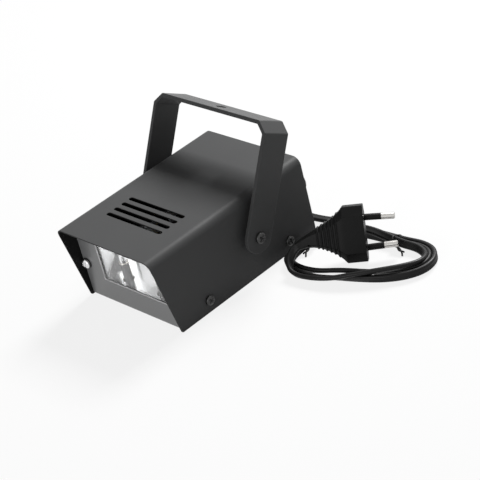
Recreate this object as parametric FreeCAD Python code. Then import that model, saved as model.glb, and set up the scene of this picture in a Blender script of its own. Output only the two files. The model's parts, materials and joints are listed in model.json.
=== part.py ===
import FreeCAD, Part
import math
import os
from FreeCAD import Placement, Rotation, Vector

# Mini xenon stroboscope: a bent sheet-metal housing with a lamp window in front, a tilting
# U-bracket and a flat mains lead that is wound into a hank beside it.
# Millimetres. Origin: centre of the flat underside. The lamp looks along -Y, +Z is up.

# ---------------------------------------------------------------- driving dimensions
# hood: top and two sides, bent from one sheet
cover_width = 86.0
cover_length = 128.0
cover_height = 55.0
cover_sheet = 1.0
cover_bend = 5.5                # outside radius of the two long bends
cover_setback = 10.0            # the lower front tips stand this far behind the top edge
cover_tip_round = 1.5
slot_count = 4
slot_length = 50.0
slot_width = 3.0
slot_pitch = 6.2
slot_setback = 27.5             # front edge of the hood to the first slot's centre line

# chassis: floor, front panel and rear panel, with a flange along each side
chassis_sheet = 1.0
chassis_bend = 2.0              # outside radius
panel_setback = 11.6            # front edge of the hood to the front panel
rear_setback = 2.0              # rear edge of the hood to the rear panel
panel_side_gap = 0.5            # panels to the hood's inner faces
panel_top_gap = 0.3
flange_height = 16.0
flange_side_gap = 0.1
flange_end_gap = 6.0            # panels to the flanges' ends
corner_relief = 0.5             # cut past each end of the flanges
window_width = 58.0
window_shift = 5.0              # middle of the window from the middle of the hood
window_sill = 16.5
window_height = 28.5
window_corner = 1.2

# clear plate, reflector and flash tube
plate_thickness = 2.0
plate_margin = 0.7              # plate's and reflector flange's ends to the hood's inner faces
plate_border = 4.0              # above and below the window
mirror_sheet = 0.6
mirror_margin = 0.5             # window's edge to the trough's floor and roof
trough_side_depth = 12.1        # depth of the slightly converging side walls
trough_depth = 17.6
trough_taper = 2.1              # how far each side wall leans in over its depth
trough_back_width = 36.0
tube_leg_spacing = 32.0
tube_bend = 8.0                 # radius of its axis
tube_diameter = 4.4
tube_setback = 5.6              # reflector flange to the tube's axis
tube_top_gap = 3.3              # reflector's roof to the top of the tube
sleeve_wall = 0.35
sleeve_gap = 0.05
sleeve_height = 11.0            # above the reflector's floor
tube_hole_gap = 1.2             # round the sleeves, in the reflector's floor
band_wire = 0.6
band_gap = 1.0                  # above the sleeves

# screws
front_screw_diameter = 3.0
front_screw_head = 6.5
front_screw_head_height = 2.2
front_screw_spacing = 76.2
front_screw_height = 24.5       # above the underside
front_screw_length = 8.5
front_washer_diameter = 7.2
front_washer_thickness = 0.6
front_nut_width = 5.5           # across flats
front_nut_thickness = 2.4
cover_screw_diameter = 3.0
cover_screw_head = 6.3
cover_screw_head_height = 2.2
cover_screw_length = 5.0
cover_screw_height = 8.0
cover_screw_setbacks = (35.0, 105.0)    # from the front edge of the hood
screw_hole_gap = 0.05           # radial

# bracket and its pivots
bracket_side_gap = 4.5          # hood's side to each leg
bracket_strip_width = 20.0
bracket_strip_thickness = 2.5
bracket_reach = 70.0            # pivot axis to the outer face of the cross strip
bracket_corner_cut = 6.5
bracket_bend_round = 1.6
bracket_lean = 30.0             # degrees, leaning back at rest
bracket_hole = 6.4
pivot_setback = 77.7            # from the front edge of the hood
pivot_height = 28.7
pivot_screw_diameter = 4.0
pivot_screw_head = 7.0
pivot_screw_head_height = 2.6
pivot_screw_length = 12.6
pivot_play = 0.1                # leg to spacer and leg to screw head
pivot_radial_play = 0.08
spacer_diameter = 9.5
pivot_nut_width = 7.0           # across flats
pivot_nut_thickness = 3.2

# circuit board
board_thickness = 1.6
board_side_gap = 2.0            # tips of the cover screws to the board
board_front_gap = 3.4           # front panel to the board
board_rear_gap = 17.0           # board to the rear panel, clear of the potentiometer
standoff_height = 5.0
standoff_width = 5.5            # across flats
standoff_floor = 0.5            # thickness under the threaded hole
standoff_inset = 5.0            # from the board's edges
board_screw_diameter = 3.0
board_screw_head = 5.5
board_screw_head_height = 2.0
board_screw_length = 5.2
lead_wire = 0.8                 # square component leads
lead_root = 1.0                 # their length inside a component

# parts on the board: places are X and Y of the centre
storage_capacitor_diameter = 16.0
storage_capacitor_height = 30.0
storage_capacitor_places = ((-22.0, -14.0), (-22.0, 5.0))
can_edge = 0.8                  # slanted upper edge
film_capacitor_size = (11.0, 24.0, 18.0)
film_capacitor_place = (2.0, -8.0)
trigger_capacitor_size = (12.0, 5.0, 10.0)
trigger_capacitor_place = (1.0, -25.0)
capacitor_round = 1.0           # upright edges of both
transformer_width = 12.0        # of its square cheeks
transformer_cheek = 1.5         # their thickness
transformer_winding = 10.0      # diameter
transformer_height = 15.0
transformer_place = (24.0, -20.0)
resistor_size = (9.5, 24.0, 9.0)
resistor_round = 0.8
resistor_lift = 4.0             # above the board
resistor_place = (20.0, 13.0)
thyristor_size = (8.0, 3.2, 11.0)
thyristor_lift = 4.0
thyristor_pin_pitch = 2.3
thyristor_place = (14.0, -4.0)
neon_diameter = 5.0
neon_tip_diameter = 2.0
neon_pin_spacing = 2.4
neon_height = 12.0
neon_lift = 2.0
neon_place = (-4.0, 13.0)
diode_diameter = 2.8
diode_length = 5.5
diode_lift = 0.3
diode_span = 12.0               # between the bent leads
diode_pitch = 4.8
diode_count = 4
diode_place = (-3.0, 22.0)      # of the first
fuse_diameter = 5.2
fuse_length = 20.0
fuse_cap_length = 5.0
fuse_lift = 3.0
fuse_groove = 0.3               # depth of the glass below its caps
fuse_inset = (16.0, 9.0)        # board's right and rear edges to the middle of the fuse
clip_sheet = 0.5
clip_gap = 0.05
clip_width = 4.0
clip_mouth = 3.6
terminal_size = (12.0, 9.0, 11.0)
terminal_inset = (14.5, 9.0)    # board's left and rear edges to the middle of the block
terminal_screw_diameter = 3.0
terminal_hole_depth = 3.0

# flash-rate control on the rear panel
knob_place = (16.0, 30.0)       # X and Z of its axis
pot_diameter = 16.5
pot_depth = 8.5
pot_bushing_diameter = 7.0
pot_bushing_length = 6.0        # outside the panel
pot_lug_length = 3.0
pot_lug_root = 5.0              # inside the body
pot_lug_width = 2.0
pot_lug_sheet = 0.8
pot_lug_pitch = 5.0
pot_floor = 2.0                 # behind the shaft's bore
pot_nut_width = 10.0            # across flats
pot_nut_thickness = 2.0
pot_washer_diameter = 11.0
pot_washer_thickness = 0.6
shaft_diameter = 6.0
shaft_play = 0.05
knob_diameter = 17.0
knob_tip_diameter = 14.5
knob_length = 13.5
knob_gap = 0.5                  # to the rear panel
knob_wall = 2.2                 # round the recess that clears the nut
knob_cap = 2.5                  # solid end, beyond the shaft
knob_rim = 1.2                  # slanted edge of the tip
knob_flute_count = 18
knob_flute_depth = 0.7
knob_recess_gap = 0.5           # end of the bushing to the floor of the recess

# strain relief of the mains lead
gland_place = (-32.0, 12.0)     # X and Z of its axis
gland_diameter = 11.0
gland_flange_diameter = 14.0
gland_flange_thickness = 2.0
gland_collar_diameter = 13.0
gland_length = 20.0             # from the rear panel to its tip
gland_root = (10.0, 7.0)        # width and height of the flat sleeve at the flange
gland_tip = (7.6, 5.4)
gland_corner = 1.4              # slanted corners of its section
gland_slot_count = 4
gland_slot_width = 1.5
gland_slot_depth = 0.8
gland_inner_length = 4.0
wire_sides = 6                  # wires, tube and lead are swept with polygons
cord_sides = 8
tube_sides = 12
wire_diameter = 2.0
wire_spacing = 2.4
wire_straight = 0.35            # share of a wire's reach that is straight at each end
control_wire_diameter = 1.4
wire_bend = 3.0

# mains lead
cord_diameter = 5.0
hank_width = 8.5
hank_height = 9.6
hank_corner = 1.8               # slanted corners of its section
hank_clearance = 0.98           # share of the largest bends that the runs allow
tail_length = 11.0
tie_width = 3.0
tie_depth = 0.9                 # the ties pinch the strands by this much
tie_gap = 0.15
tie_places = ((100.0, 75.9), (51.2, 51.5))
tie_tail_ways = (-1, 1)         # each tail along the run that its tie holds
tie_tail_width = 1.6            # across flats
# twisted tail: distance along the run, out from the hank's side, and height
tie_tail = [(0.0, -0.5, 6.0), (0.0, 1.4, 5.6), (5.0, 2.1, 3.2), (10.5, 2.3, 1.3)]

# two-pin plug, standing on its narrow edge
plug_place = (92.3, 59.6)       # centre of the pin face
plug_yaw = 40.0                 # degrees, direction of the pins from +X
plug_pitch = 2.6                # degrees, pins pointing down
plug_lean = 20.8                # degrees, leaning back from upright
plug_height = 34.6
plug_thickness = 13.2
plug_edge_width = 6.2           # flat of the narrow edges
plug_edge_cut = 6.0             # height of the slanted corners
plug_straight = 12.3            # from the pin face to the start of the grip
plug_rib_count = 6
plug_rib_first = 4.0            # start of the grip to the first rib
plug_rib_width = 1.0
plug_rib_pitch = 2.4
plug_rib_height = 0.55
# grip behind the straight part: distance behind the pin face, drop of its axis, half its
# height, half its thickness and its tilt in degrees
grip_stations = [(plug_straight, 0.0, plug_height / 2, plug_thickness / 2, 0.0),
                 (14.6, 0.0, 14.6, 6.4, 0.0), (18.0, 0.0, 11.6, 6.1, 1.0), (22.5, 0.1, 8.9, 5.6, 2.0),
                 (27.5, 0.4, 6.5, 4.8, 4.0), (32.5, 1.2, 4.8, 3.9, 8.0), (37.0, 2.4, 3.6, 3.3, 17.0),
                 (41.5, 4.2, 2.9, 2.9, 34.0)]
pin_diameter = 4.0
pin_length = 18.6
pin_tip_edge = 0.5              # slanted edge of its end
pin_spacing = 18.6              # at the pin face
pin_tip_spacing = 17.2
pin_core_diameter = 3.0
pin_root_length = 6.0           # inside the plug
sleeve_length = 10.5
pin_gap = 0.05

# ---------------------------------------------------------------- derived places
hood_front = -cover_length / 2
hood_rear = cover_length / 2
hood_inside = cover_width / 2 - cover_sheet
panel_front = hood_front + panel_setback
panel_back = panel_front + chassis_sheet
rear_outer = hood_rear - rear_setback
rear_inner = rear_outer - chassis_sheet
panel_half = hood_inside - panel_side_gap
panel_top = cover_height - cover_sheet - panel_top_gap
flange_outer = hood_inside - flange_side_gap
flange_inner = flange_outer - chassis_sheet
plate_back = panel_back + plate_thickness
mirror_front = plate_back
mirror_back = mirror_front + mirror_sheet
plate_half = hood_inside - plate_margin
plate_low = window_sill - plate_border
plate_high = window_sill + window_height + plate_border
trough_low = window_sill - mirror_margin
trough_high = window_sill + window_height + mirror_margin
tube_y = mirror_back + tube_setback
board_bottom = chassis_sheet + standoff_height
board_top = board_bottom + board_thickness
board_front = panel_back + board_front_gap
board_rear = rear_inner - board_rear_gap
board_half = cover_width / 2 - cover_screw_length - board_side_gap
fuse_place = (board_half - fuse_inset[0], board_rear - fuse_inset[1])
terminal_place = (terminal_inset[0] - board_half, board_rear - terminal_inset[1])
terminal_rear = terminal_place[1] + terminal_size[1] / 2
pivot_y = hood_front + pivot_setback
shaft_floor = rear_inner - pot_depth + pot_floor
leg_inner = cover_width / 2 + bracket_side_gap
bracket_outer_width = 2 * (leg_inner + bracket_strip_thickness)

X, Y, Z = Vector(1, 0, 0), Vector(0, 1, 0), Vector(0, 0, 1)


# ---------------------------------------------------------------- helpers
def box(x_span, y_span, z_span):
    """Block between two values on each axis."""
    return Part.makeBox(x_span[1] - x_span[0], y_span[1] - y_span[0], z_span[1] - z_span[0],
                        Vector(x_span[0], y_span[0], z_span[0]))


def block_on(place, size, bottom):
    """Block centred on a place in plan, with its underside at a height."""
    width, depth, height = size
    return box((place[0] - width / 2, place[0] + width / 2),
               (place[1] - depth / 2, place[1] + depth / 2), (bottom, bottom + height))


def rod(diameter, start, end):
    """Cylinder between two points."""
    run = end - start
    return Part.makeCylinder(diameter / 2, run.Length, start, run)


def prism(points, direction):
    """Extrusion of the polygon through the points."""
    wire = Part.makePolygon(points + points[:1])
    return Part.Face(wire).extrude(direction)


def hexagon(width, start, direction):
    """Hexagonal bar of a width across flats, from a point along a direction."""
    turn = Rotation(Z, direction)
    radius = width / math.sqrt(3)
    corners = []
    for k in range(6):
        angle = math.radians(60 * k + 30)
        corners.append(start + turn.multVec(Vector(radius * math.cos(angle), radius * math.sin(angle), 0)))
    return prism(corners, direction)


def turned(profile, start, direction):
    """Turned body from pairs of a radius and a distance along its axis."""
    points = [Vector(radius, 0, along) for radius, along in profile]
    body = Part.Face(Part.makePolygon(points + points[:1])).revolve(Vector(0, 0, 0), Z, 360)
    body.Placement = Placement(start, Rotation(Z, direction))
    return body


def fillet_along(shape, radius, direction, keep):
    """Rounds the straight edges along a direction whose ends pass a test."""
    edges = []
    for edge in shape.Edges:
        if len(edge.Vertexes) != 2 or not all(keep(vertex.Point) for vertex in edge.Vertexes):
            continue
        run = (edge.Vertexes[1].Point - edge.Vertexes[0].Point).normalize()
        if abs(run.dot(direction)) > 0.999:
            edges.append(edge)
    return shape.makeFillet(radius, edges)


def near(a, b):
    """Whether two values are the same but for rounding."""
    return abs(a - b) < 1e-4


def mirrored(shape):
    """The shape and its twin on the other side."""
    return [shape, shape.mirror(Vector(0, 0, 0), X)]


def head_screw(head_diameter, head_height, diameter, length, seat, inward):
    """Screw: its head stands on a seat and its shank points inward."""
    head = rod(head_diameter, seat, seat - inward * head_height)
    return head.fuse(rod(diameter, seat, seat + inward * length))


def nut(width, thickness, bore, start, direction):
    body = hexagon(width, start, direction * thickness)
    return body.cut(rod(bore, start - direction, start + direction * (thickness + 1)))


def bent_wire(points, diameter):
    """Thin wire along straight runs with mitred corners."""
    return section_sweep(Part.makePolygon(points), diameter, wire_sides, 1)


def wire_path(points, radii):
    """Straight runs joined by tangent arcs at the inner points."""
    edges = []
    last = points[0]
    for i in range(1, len(points) - 1):
        corner = points[i]
        back = (points[i - 1] - corner).normalize()
        ahead = (points[i + 1] - corner).normalize()
        turn = math.pi - back.getAngle(ahead)
        reach = radii[i - 1] * math.tan(turn / 2)
        start = corner + back * reach
        end = corner + ahead * reach
        inward = (back + ahead).normalize()
        middle = corner + inward * (radii[i - 1] / math.cos(turn / 2) - radii[i - 1])
        if (start - last).Length > 1e-6:
            edges.append(Part.LineSegment(last, start).toShape())
        edges.append(Part.Arc(start, middle, end).toShape())
        last = end
    edges.append(Part.LineSegment(last, points[-1]).toShape())
    return Part.Wire(edges)


def sweep(wire, diameter, sides):
    """Rod along a path of lines and tangent arcs."""
    return section_sweep(wire, diameter, sides, 0)


def section_sweep(wire, diameter, sides, corner_mode):
    """Sweep of a regular polygon whose corners lie on the diameter."""
    first = wire.Edges[0]
    place = first.valueAt(first.FirstParameter)
    turn = Rotation(Z, first.tangentAt(first.FirstParameter))
    corners = []
    for k in range(sides + 1):
        angle = 2 * math.pi * k / sides
        corners.append(place + turn.multVec(Vector(math.cos(angle), math.sin(angle), 0) * (diameter / 2)))
    return wire.makePipeShell([Part.makePolygon(corners)], True, False, corner_mode)


def free_radii(points):
    """The largest arc that the two runs at each inner point allow, with room to spare."""
    radii = []
    for i in range(1, len(points) - 1):
        back = points[i - 1] - points[i]
        ahead = points[i + 1] - points[i]
        turn = math.pi - back.getAngle(ahead)
        radii.append(0.45 * min(back.Length, ahead.Length) / math.tan(turn / 2))
    return radii


# ---------------------------------------------------------------- hood
def make_cover():
    half = cover_width / 2
    roof = cover_height - cover_sheet
    outer = box((-half, half), (hood_front, hood_rear), (0, cover_height))
    outer = fillet_along(outer, cover_bend, Y, lambda p: near(p.z, cover_height))
    inner = box((-hood_inside, hood_inside), (hood_front - 1, hood_rear + 1), (-1, roof))
    inner = fillet_along(inner, cover_bend - cover_sheet, Y, lambda p: near(p.z, roof))
    shell = outer.cut(inner)

    below = cover_setback * (1 + 1 / cover_height)
    outline = [Vector(-half - 1, hood_front - 1, -1), Vector(-half - 1, hood_front + below, -1),
               Vector(-half - 1, hood_front, cover_height), Vector(-half - 1, hood_front - 1, cover_height)]
    shell = shell.cut(prism(outline, X * (cover_width + 2)))
    tip = hood_front + cover_setback
    shell = fillet_along(shell, cover_tip_round, X, lambda p: near(p.z, 0) and near(p.y, tip))

    end = slot_length / 2 - slot_width / 2
    for k in range(slot_count):
        y = hood_front + slot_setback + k * slot_pitch
        slot = box((-end, end), (y - slot_width / 2, y + slot_width / 2), (roof - 1, cover_height + 1))
        for side in (-end, end):
            slot = slot.fuse(rod(slot_width, Vector(side, y, roof - 1), Vector(side, y, cover_height + 1)))
        shell = shell.cut(slot)

    for y, z, diameter in side_holes():
        shell = shell.cut(rod(diameter, Vector(-half - 1, y, z), Vector(half + 1, y, z)))
    return shell


def side_holes():
    """Y, Z and diameter of the holes through the hood's sides."""
    holes = [(hood_front + setback, cover_screw_height, cover_screw_diameter + 2 * screw_hole_gap)
             for setback in cover_screw_setbacks]
    return holes + [(pivot_y, pivot_height, pivot_screw_diameter + 2 * screw_hole_gap)]


def make_cover_screws():
    screws = []
    for setback in cover_screw_setbacks:
        seat = Vector(cover_width / 2, hood_front + setback, cover_screw_height)
        screws += mirrored(head_screw(cover_screw_head, cover_screw_head_height, cover_screw_diameter,
                                     cover_screw_length, seat, X * -1))
    return screws


# ---------------------------------------------------------------- chassis
def bent_channel(x_span, y_span, z_span, along):
    """Sheet bent to a channel that is open at the top; its length is along X or Y."""
    outer = box(x_span, y_span, z_span)
    outer = fillet_along(outer, chassis_bend, along, lambda p: near(p.z, z_span[0]))
    sheet = chassis_sheet
    if along == X:
        x_hollow, y_hollow = (x_span[0] - 1, x_span[1] + 1), (y_span[0] + sheet, y_span[1] - sheet)
    else:
        x_hollow, y_hollow = (x_span[0] + sheet, x_span[1] - sheet), (y_span[0] - 1, y_span[1] + 1)
    hollow = box(x_hollow, y_hollow, (z_span[0] + sheet, z_span[1] + 1))
    hollow = fillet_along(hollow, chassis_bend - sheet, along, lambda p: near(p.z, z_span[0] + sheet))
    return outer.cut(hollow)


def make_chassis():
    panels = bent_channel((-panel_half, panel_half), (panel_front, rear_outer), (0, panel_top), X)
    flange_span = (panel_back + flange_end_gap, rear_inner - flange_end_gap)
    flanges = bent_channel((-flange_outer, flange_outer), flange_span, (0, flange_height), Y)
    relief_span = (flange_span[0] - corner_relief, flange_span[1] + corner_relief)
    for side in (-1, 1):
        ends = sorted((side * (flange_inner - chassis_bend), side * (panel_half + 1)))
        strip = box(ends, relief_span, (-1, chassis_bend + 1))
        panels = panels.cut(strip)
    tray = panels.fuse(flanges).removeSplitter()

    # the panels' upper corners follow the bends of the hood
    envelope = box((-flange_outer, flange_outer), (panel_front - 1, rear_outer + 1), (0, panel_top))
    envelope = fillet_along(envelope, cover_bend, Y, lambda p: near(p.z, panel_top))
    tray = tray.common(envelope)

    opening = box((window_shift - window_width / 2, window_shift + window_width / 2),
                  (panel_front - 1, panel_back + 1), (window_sill, window_sill + window_height))
    opening = fillet_along(opening, window_corner, Y, lambda p: True)
    tray = tray.cut(opening)
    for side in (-1, 1):
        x = side * front_screw_spacing / 2
        tray = tray.cut(rod(front_screw_diameter + 2 * screw_hole_gap,
                            Vector(x, panel_front - 1, front_screw_height),
                            Vector(x, panel_back + 1, front_screw_height)))
    for place, diameter in ((knob_place, pot_bushing_diameter), (gland_place, gland_diameter)):
        tray = tray.cut(rod(diameter + 2 * screw_hole_gap, Vector(place[0], rear_inner - 1, place[1]),
                            Vector(place[0], rear_outer + 1, place[1])))
    for y, z, diameter in side_holes()[:-1]:
        tray = tray.cut(rod(diameter, Vector(-hood_inside, y, z), Vector(hood_inside, y, z)))
    return tray


# ---------------------------------------------------------------- lamp: plate, reflector, tube
def front_holes(shape, y_span):
    for side in (-1, 1):
        x = side * front_screw_spacing / 2
        shape = shape.cut(rod(front_screw_diameter + 2 * screw_hole_gap,
                              Vector(x, y_span[0] - 1, front_screw_height),
                              Vector(x, y_span[1] + 1, front_screw_height)))
    return shape


def make_window():
    plate = box((-plate_half, plate_half), (panel_back, plate_back), (plate_low, plate_high))
    plate = fillet_along(plate, window_corner, Y, lambda p: True)
    return front_holes(plate, (panel_back, plate_back))


def trough_plan(grow, front):
    """Plan of the trough: converging sides, slanted back corners, flat back."""
    mouth = window_width / 2 + mirror_margin
    corner = (mouth - trough_taper, mirror_front + trough_side_depth)
    points = [(mouth, front), (mouth, mirror_front), corner,
              (trough_back_width / 2, mirror_front + trough_depth)]
    half = [(x + grow, y + (grow if y > mirror_front + 1 else 0)) for x, y in points]
    plan = half + [(-x, y) for x, y in reversed(half)]
    return [Vector(window_shift + x, y, 0) for x, y in plan]


def make_reflector():
    low, high = trough_low - mirror_sheet, trough_high + mirror_sheet
    outer = prism([p + Z * low for p in trough_plan(mirror_sheet, mirror_front)[1:-1]], Z * (high - low))
    flange = box((-plate_half, plate_half), (mirror_front, mirror_back), (plate_low, plate_high))
    inner = prism([p + Z * trough_low for p in trough_plan(0, mirror_front - 1)],
                  Z * (trough_high - trough_low))
    body = outer.fuse(flange).cut(inner).removeSplitter()
    for x in tube_legs():
        body = body.cut(rod(tube_diameter + 2 * (sleeve_wall + tube_hole_gap), Vector(x, tube_y, low - 1),
                            Vector(x, tube_y, trough_low + 1)))
    return front_holes(body, (mirror_front, mirror_back))


def tube_legs():
    return (window_shift - tube_leg_spacing / 2, window_shift + tube_leg_spacing / 2)


def make_xenon_tube():
    """U-shaped glass; its legs stand on the board."""
    top = trough_high - tube_top_gap - tube_diameter / 2
    left, right = tube_legs()
    points = [Vector(left, tube_y, board_top), Vector(left, tube_y, top), Vector(right, tube_y, top),
              Vector(right, tube_y, board_top)]
    return sweep(wire_path(points, [tube_bend, tube_bend]), tube_diameter, tube_sides)


def make_tube_sleeves():
    return [tube_ring(x, sleeve_wall, board_top, trough_low + sleeve_height) for x in tube_legs()]


def tube_ring(x, wall, low, high):
    """Sleeve round one leg of the tube, with the tube's own number of sides."""
    inside = tube_diameter + 2 * sleeve_gap
    outer = tube_bar(Vector(x, tube_y, low), Vector(x, tube_y, high), inside + 2 * wall)
    return outer.cut(tube_bar(Vector(x, tube_y, low - 1), Vector(x, tube_y, high + 1), inside))


def tube_bar(low, high, diameter):
    return sweep(Part.makePolygon([low, high]), diameter, tube_sides)


def make_trigger_band():
    """Bare wire round each leg above its sleeve, with a lead down to the board."""
    inside = tube_diameter + 2 * sleeve_gap
    top = trough_low + sleeve_height + band_gap + band_wire
    drop_y = tube_y + inside / 2 + sleeve_wall + sleeve_gap + band_wire / 2
    bands = []
    for x in tube_legs():
        ring = tube_ring(x, band_wire, top - band_wire, top)
        drop = block_on((x, drop_y), (band_wire, band_wire, top - board_top), board_top)
        bands.append(ring.fuse(drop).removeSplitter())
    return bands


def make_front_screws():
    seat = Vector(front_screw_spacing / 2, panel_front - front_washer_thickness, front_screw_height)
    return mirrored(head_screw(front_screw_head, front_screw_head_height, front_screw_diameter,
                              front_screw_length, seat, Y))


def make_front_washers():
    start = Vector(front_screw_spacing / 2, panel_front - front_washer_thickness, front_screw_height)
    disc = rod(front_washer_diameter, start, start + Y * front_washer_thickness)
    hole = rod(front_screw_diameter + 2 * screw_hole_gap, start - Y, start + Y * 2)
    return mirrored(disc.cut(hole))


def make_front_nuts():
    start = Vector(front_screw_spacing / 2, mirror_back, front_screw_height)
    return mirrored(nut(front_nut_width, front_nut_thickness, front_screw_diameter + 2 * screw_hole_gap,
                        start, Y))


# ---------------------------------------------------------------- bracket
def make_bracket():
    """Strip with two cut corners, modelled upright round its pivot and then leaned back."""
    outer_half, reach = bracket_outer_width / 2, bracket_reach
    thickness, half_width = bracket_strip_thickness, bracket_strip_width / 2
    inner_cut = bracket_corner_cut - thickness * (2 - math.sqrt(2))
    outlines = []
    for half, top, cut, low in ((outer_half, reach, bracket_corner_cut, 0),
                                (outer_half - thickness, reach - thickness, inner_cut, -1)):
        right = [Vector(half, -half_width, low), Vector(half, -half_width, top - cut),
                 Vector(half - cut, -half_width, top)]
        outlines.append(right + [Vector(-p.x, p.y, p.z) for p in reversed(right)])
    body = prism(outlines[0], Y * bracket_strip_width).cut(
        prism([p - Y for p in outlines[1]], Y * (bracket_strip_width + 2)))
    body = fillet_along(body, bracket_bend_round, Y, lambda p: p.z > reach - 2 * bracket_corner_cut)
    hole = pivot_screw_diameter + 2 * pivot_radial_play
    for side in (-1, 1):
        inner, outer = X * side * (outer_half - thickness), X * side * outer_half
        body = body.fuse(rod(bracket_strip_width, inner, outer))
    body = body.removeSplitter().cut(rod(hole, X * -outer_half * 1.1, X * outer_half * 1.1))
    body = body.cut(rod(bracket_hole, Z * (reach - thickness - 1), Z * (reach + 1)))
    body.Placement = Placement(Vector(0, pivot_y, pivot_height), Rotation(X, -bracket_lean))
    return body


def make_pivot_screws():
    seat = Vector(bracket_outer_width / 2 + pivot_play, pivot_y, pivot_height)
    return mirrored(head_screw(pivot_screw_head, pivot_screw_head_height, pivot_screw_diameter,
                              pivot_screw_length, seat, X * -1))


def make_pivot_spacers():
    start = Vector(cover_width / 2, pivot_y, pivot_height)
    end = Vector(leg_inner - pivot_play, pivot_y, pivot_height)
    bush = rod(spacer_diameter, start, end)
    return mirrored(bush.cut(rod(pivot_screw_diameter + 2 * screw_hole_gap, start - X, end + X)))


def make_pivot_nuts():
    start = Vector(hood_inside, pivot_y, pivot_height)
    return mirrored(nut(pivot_nut_width, pivot_nut_thickness, pivot_screw_diameter + 2 * screw_hole_gap,
                        start, X * -1))


# ---------------------------------------------------------------- circuit board
def board_posts():
    x = board_half - standoff_inset
    return [(side * x, y) for side in (-1, 1)
            for y in (board_front + standoff_inset, board_rear - standoff_inset)]


def make_circuit_board():
    board = box((-board_half, board_half), (board_front, board_rear), (board_bottom, board_top))
    for x, y in board_posts():
        board = board.cut(rod(board_screw_diameter + 2 * screw_hole_gap, Vector(x, y, board_bottom - 1),
                              Vector(x, y, board_top + 1)))
    return board


def make_board_standoffs():
    posts = []
    for x, y in board_posts():
        low, high = Vector(x, y, chassis_sheet), Vector(x, y, board_bottom)
        post = hexagon(standoff_width, low, high - low)
        hole = board_screw_diameter + 2 * screw_hole_gap
        posts.append(post.cut(rod(hole, low + Z * standoff_floor, high + Z)))
    return posts


def make_board_screws():
    return [head_screw(board_screw_head, board_screw_head_height, board_screw_diameter, board_screw_length,
                      Vector(x, y, board_top), Z * -1) for x, y in board_posts()]


def on_board(place, lift=0.0):
    return Vector(place[0], place[1], board_top + lift)


def leg(foot, height):
    """Square lead that stands on the board."""
    return block_on((foot.x, foot.y), (lead_wire, lead_wire, height), board_top)


def make_storage_capacitors():
    radius, top = storage_capacitor_diameter / 2, storage_capacitor_height
    profile = [(0, 0), (radius, 0), (radius, top - can_edge), (radius - can_edge, top), (0, top)]
    return [turned(profile, on_board(place), Z) for place in storage_capacitor_places]


def make_film_capacitor():
    body = block_on(film_capacitor_place, film_capacitor_size, board_top)
    return fillet_along(body, capacitor_round, Z, lambda p: True)


def make_trigger_capacitor():
    body = block_on(trigger_capacitor_place, trigger_capacitor_size, board_top)
    return fillet_along(body, capacitor_round, Z, lambda p: True)


def make_trigger_transformer():
    """Upright bobbin: a winding between two square cheeks."""
    low = on_board(transformer_place)
    body = rod(transformer_winding, low, low + Z * transformer_height)
    for bottom in (board_top, board_top + transformer_height - transformer_cheek):
        cheek = (transformer_width, transformer_width, transformer_cheek)
        body = body.fuse(block_on(transformer_place, cheek, bottom))
    return body


def make_power_resistor():
    body = block_on(resistor_place, resistor_size, board_top + resistor_lift)
    body = fillet_along(body, resistor_round, Y, lambda p: True)
    half = resistor_size[1] / 2 - 2 * lead_wire
    for side in (-half, half):
        body = body.fuse(leg(on_board(resistor_place) + Y * side, resistor_lift + lead_root))
    return body


def make_thyristor():
    body = block_on(thyristor_place, thyristor_size, board_top + thyristor_lift)
    for k in (-1, 0, 1):
        foot = on_board(thyristor_place) + X * k * thyristor_pin_pitch
        body = body.fuse(leg(foot, thyristor_lift + lead_root))
    return body


def make_neon_trigger():
    radius, shoulder = neon_diameter / 2, neon_height - neon_diameter / 2
    profile = [(0, 0), (radius, 0), (radius, shoulder), (neon_tip_diameter / 2, neon_height),
               (0, neon_height)]
    body = turned(profile, on_board(neon_place, neon_lift), Z)
    for side in (-1, 1):
        foot = on_board(neon_place) + X * side * neon_pin_spacing / 2
        body = body.fuse(leg(foot, neon_lift + lead_root))
    return body


def make_rectifier_diodes():
    diodes = []
    for k in range(diode_count):
        middle = on_board(diode_place, diode_lift + diode_diameter / 2) + Y * k * diode_pitch
        body = rod(diode_diameter, middle - X * diode_length / 2, middle + X * diode_length / 2)
        top = middle.z + lead_wire / 2
        run = block_on((middle.x, middle.y), (diode_span + lead_wire, lead_wire, lead_wire), top - lead_wire)
        body = body.fuse(run)
        for side in (-1, 1):
            body = body.fuse(leg(middle + X * side * diode_span / 2, top - board_top))
        diodes.append(body.removeSplitter())
    return diodes


def fuse_axis():
    """Middle of the fuse."""
    return on_board(fuse_place, fuse_lift + fuse_diameter / 2)


def make_fuse():
    half = fuse_length / 2
    middle = fuse_axis()
    body = rod(fuse_diameter - 2 * fuse_groove, middle - X * half, middle + X * half)
    for side in (-1, 1):
        end = middle + X * side * half
        body = body.fuse(rod(fuse_diameter, end - X * side * fuse_cap_length, end))
    return body.removeSplitter()


def make_fuse_clips():
    """Spring clips that grip the fuse's caps from below."""
    clips = []
    middle = fuse_axis()
    wall = fuse_diameter / 2 + clip_gap + clip_sheet
    across = clip_width + 2
    for side in (-1, 1):
        centre = middle + X * side * (fuse_length / 2 - fuse_cap_length / 2)
        shell = block_on((centre.x, centre.y), (clip_width, 2 * wall, fuse_lift + fuse_diameter), board_top)
        bore = rod(fuse_diameter + 2 * clip_gap, centre - X * across / 2, centre + X * across / 2)
        mouth = block_on((centre.x, centre.y), (across, clip_mouth, 2 * fuse_diameter), middle.z)
        shell = shell.cut(bore).cut(mouth)
        for y_side in (-1, 1):
            shell = shell.cut(block_on((centre.x, centre.y + y_side * wall),
                                       (across, wall, fuse_lift - clip_sheet), board_top))
        clips.append(shell)
    return clips


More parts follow.
